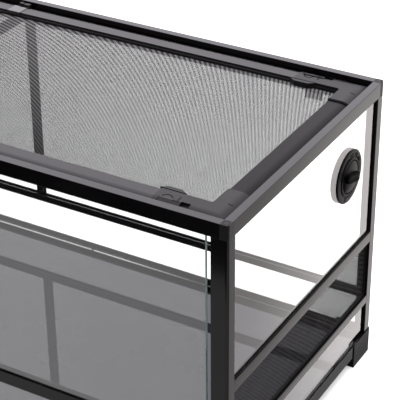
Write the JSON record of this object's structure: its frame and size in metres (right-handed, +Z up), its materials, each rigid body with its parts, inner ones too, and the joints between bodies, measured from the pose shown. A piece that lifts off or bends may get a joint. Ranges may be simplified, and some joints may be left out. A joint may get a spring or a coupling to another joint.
{
  "type": "reptile terrarium",
  "caption": "Long glass vivarium in a black aluminium frame with hinged glass doors, side screen strips, rotary vents and a lift-off screen top.",
  "frame": {"origin": "middle of the footprint, on the surface that the feet stand on", "axes": "+X along the long side to the right seen from the doors, -Y towards the doors, +Z up"},
  "size_m": [1.239, 0.4725, 0.468],
  "materials": {
    "frame_aluminium": "fine satin black powder coat",
    "black_plastic": "fine textured moulding",
    "glass": "clear float glass with green edges",
    "floor_sheet": "glossy grey bottom sheet",
    "gasket_rubber": "matt black glazing rubber",
    "mesh_cloth": "woven grey wire cloth",
    "side_mesh": "black woven wire cloth in a plastic frame",
    "nut_plastic": "grey moulding",
    "steel_small": "zinc plated"
  },
  "bodies": {
    "tank": {"top_rail_front": "frame_aluminium", "top_rail_back": "frame_aluminium", "top_rail_left": "frame_aluminium", "top_rail_right": "frame_aluminium", "corner_connectors": "black_plastic", "post_front_left": "frame_aluminium", "post_front_right": "frame_aluminium", "post_back_left": "frame_aluminium", "post_back_right": "frame_aluminium", "foot_front_left": "black_plastic", "foot_front_right": "black_plastic", "foot_back_left": "black_plastic", "foot_back_right": "black_plastic", "bottom_rail_front": "frame_aluminium", "bottom_rail_back": "frame_aluminium", "bottom_rail_left": "frame_aluminium", "bottom_rail_right": "frame_aluminium", "floor_panel": "floor_sheet", "back_mullion": "frame_aluminium", "back_cross_rail": "frame_aluminium", "door_sill": "frame_aluminium", "side_bar_upper_left": "frame_aluminium", "side_bar_upper_right": "frame_aluminium", "side_bar_lower_left": "frame_aluminium", "side_bar_lower_right": "frame_aluminium", "top_beam": "frame_aluminium", "glass_back_upper_left": "glass", "glass_back_upper_right": "glass", "glass_back_lower": "glass", "glass_front_lower": "glass", "glass_side_upper_left": "glass", "glass_side_upper_right": "glass", "glass_side_lower_left": "glass", "glass_side_lower_right": "glass", "side_screen_left": "side_mesh", "side_screen_right": "side_mesh", "glazing_gaskets": "gasket_rubber", "door_pins": "steel_small", "vent_flanges": "black_plastic", "vent_nuts": "nut_plastic"},
    "door_left": {"door_glass_left": "glass", "door_shoes_left": "black_plastic", "door_pull_left": "black_plastic"},
    "door_right": {"door_glass_right": "glass", "door_shoes_right": "black_plastic", "door_lock_case": "black_plastic"},
    "lock_knob": {"door_lock_knob": "steel_small"},
    "screen_top": {"screen_rail_front": "frame_aluminium", "screen_rail_back": "frame_aluminium", "screen_rail_left": "frame_aluminium", "screen_rail_right": "frame_aluminium", "screen_corners": "black_plastic", "screen_splices": "black_plastic", "screen_mesh": "mesh_cloth"},
    "inlet_slider_front_left": {"inlet_slider_front_left": "black_plastic"},
    "inlet_slider_front_right": {"inlet_slider_front_right": "black_plastic"},
    "inlet_slider_back_left": {"inlet_slider_back_left": "black_plastic"},
    "inlet_slider_back_right": {"inlet_slider_back_right": "black_plastic"},
    "vent_dial_left": {"vent_dial_left": "black_plastic"},
    "vent_dial_right": {"vent_dial_right": "black_plastic"}
  },
  "joints": [
    {"name": "door_left_hinge", "type": "hinge", "parent": "tank", "child": "door_left", "pos_m": [-0.571, -0.223, 0.28365], "axis": [0, 0, -1], "range_deg": [0, 110]},
    {"name": "door_right_hinge", "type": "hinge", "parent": "tank", "child": "door_right", "pos_m": [0.571, -0.223, 0.28365], "axis": [0, 0, 1], "range_deg": [0, 110]},
    {"name": "lock_turn", "type": "hinge", "parent": "door_right", "child": "lock_knob", "pos_m": [0.018, -0.2285, 0.28365], "axis": [0, -1, 0], "range_deg": [0, 90]},
    {"name": "screen_lift", "type": "slide", "parent": "tank", "child": "screen_top", "axis": [0, 0, 1], "range_m": [0, 0.12]},
    {"name": "inlet_front_left", "type": "slide", "parent": "screen_top", "child": "inlet_slider_front_left", "axis": [-1, 0, 0], "range_m": [0, 0.012]},
    {"name": "inlet_front_right", "type": "slide", "parent": "screen_top", "child": "inlet_slider_front_right", "axis": [1, 0, 0], "range_m": [0, 0.012]},
    {"name": "inlet_back_left", "type": "slide", "parent": "screen_top", "child": "inlet_slider_back_left", "axis": [-1, 0, 0], "range_m": [0, 0.012]},
    {"name": "inlet_back_right", "type": "slide", "parent": "screen_top", "child": "inlet_slider_back_right", "axis": [1, 0, 0], "range_m": [0, 0.012]},
    {"name": "vent_left_turn", "type": "hinge", "parent": "tank", "child": "vent_dial_left", "pos_m": [-0.6125, 0.1283, 0.3597], "axis": [-1, 0, 0], "range_deg": [0, 45]},
    {"name": "vent_right_turn", "type": "hinge", "parent": "tank", "child": "vent_dial_right", "pos_m": [0.6125, 0.1283, 0.3597], "axis": [1, 0, 0], "range_deg": [0, 45]}
  ]
}
